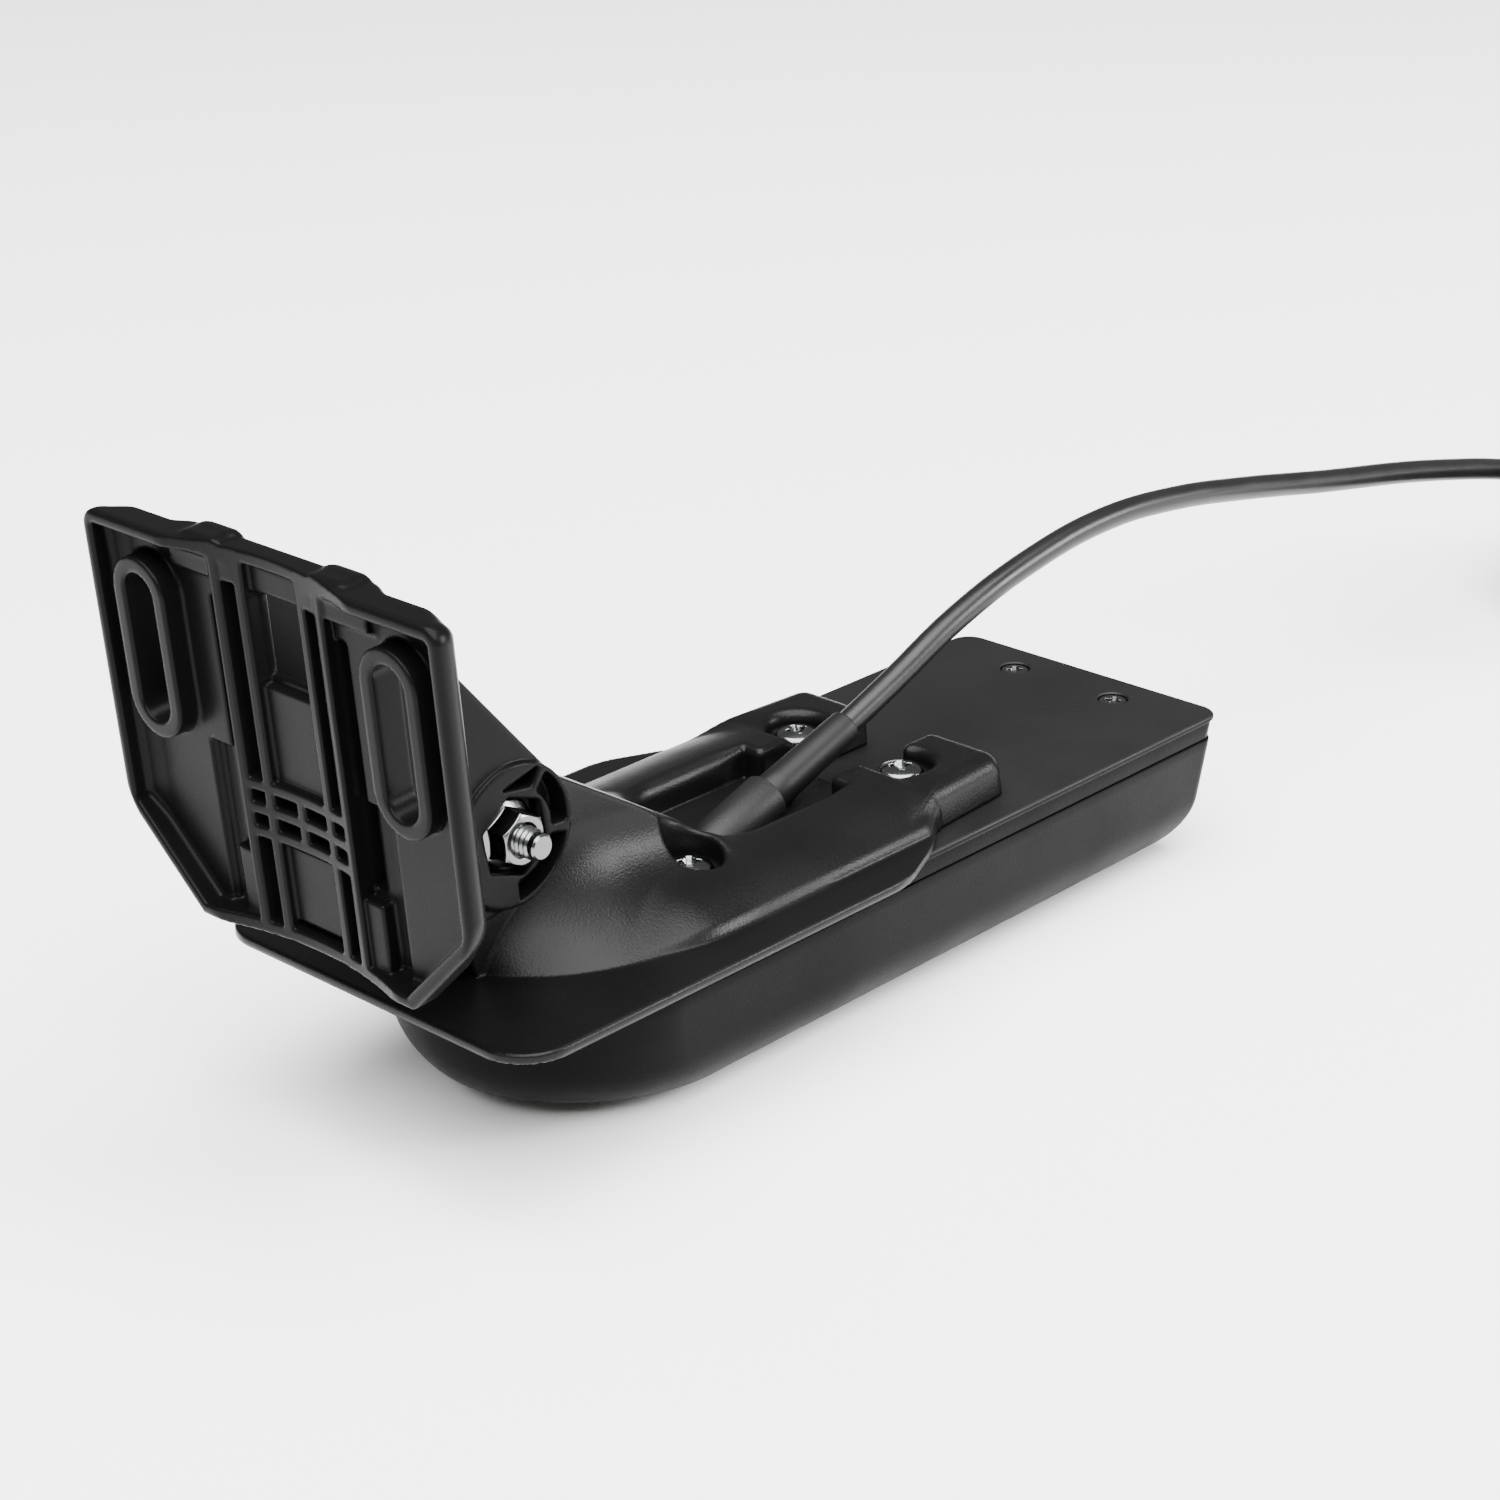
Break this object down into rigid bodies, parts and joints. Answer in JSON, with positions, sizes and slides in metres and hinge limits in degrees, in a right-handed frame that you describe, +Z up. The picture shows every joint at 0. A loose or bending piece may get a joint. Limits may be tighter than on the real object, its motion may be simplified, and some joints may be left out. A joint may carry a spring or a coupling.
{
  "type": "sonar transducer",
  "caption": "Transom-mount sonar transducer: boat-shaped potted housing on a screwed saddle, a tilting slotted bracket clamped by a cross bolt, and a coiled cable with a round plug.",
  "frame": {"origin": "middle of the flat sounding face, under the middle of the housing's length", "axes": "+X aft, away from the bracket; +Y to starboard; +Z up, away from the sounding face"},
  "size_m": [0.4798, 0.1288, 0.1074],
  "materials": {
    "housing_plastic": "moulded, fine satin texture",
    "saddle_nylon": "moulded glass-filled nylon, soft satin",
    "bracket_nylon": "moulded glass-filled nylon, soft satin",
    "stainless": "bright turned and rolled steel",
    "boot_rubber": "moulded soft rubber",
    "cable_jacket": "extruded jacket, satin",
    "potting_resin": "cast resin",
    "ceramic": "fired ceramic",
    "backing_pad": "cork and rubber sheet",
    "board": "solder mask",
    "brass": "turned brass",
    "strap": "woven strap",
    "connector_plastic": "moulded, satin"
  },
  "bodies": {
    "transducer": {"housing_shell": "housing_plastic", "top_cover": "housing_plastic", "fill_plugs": "housing_plastic", "potting_block": "potting_resin", "side_scan_elements": "ceramic", "down_scan_element": "ceramic", "chirp_element": "ceramic", "element_backing": "backing_pad", "circuit_board": "board", "temperature_sensor": "brass", "mount_saddle": "saddle_nylon", "saddle_screws": "stainless", "strain_relief": "boot_rubber", "cable_lead": "cable_jacket", "cable_coil": "cable_jacket", "coil_tie": "strap", "cable_tail": "cable_jacket", "connector_body": "connector_plastic", "connector_collar": "connector_plastic", "connector_insert": "connector_plastic", "connector_pins": "brass"},
    "bracket": {"transom_bracket": "bracket_nylon", "pivot_bolt": "stainless", "pivot_nut": "stainless"}
  },
  "joints": [
    {"name": "bracket_pivot", "type": "hinge", "parent": "transducer", "child": "bracket", "pos_m": [-0.0824, 0, 0.057], "axis": [0, 1, 0], "range_deg": [-15, 85]}
  ]
}
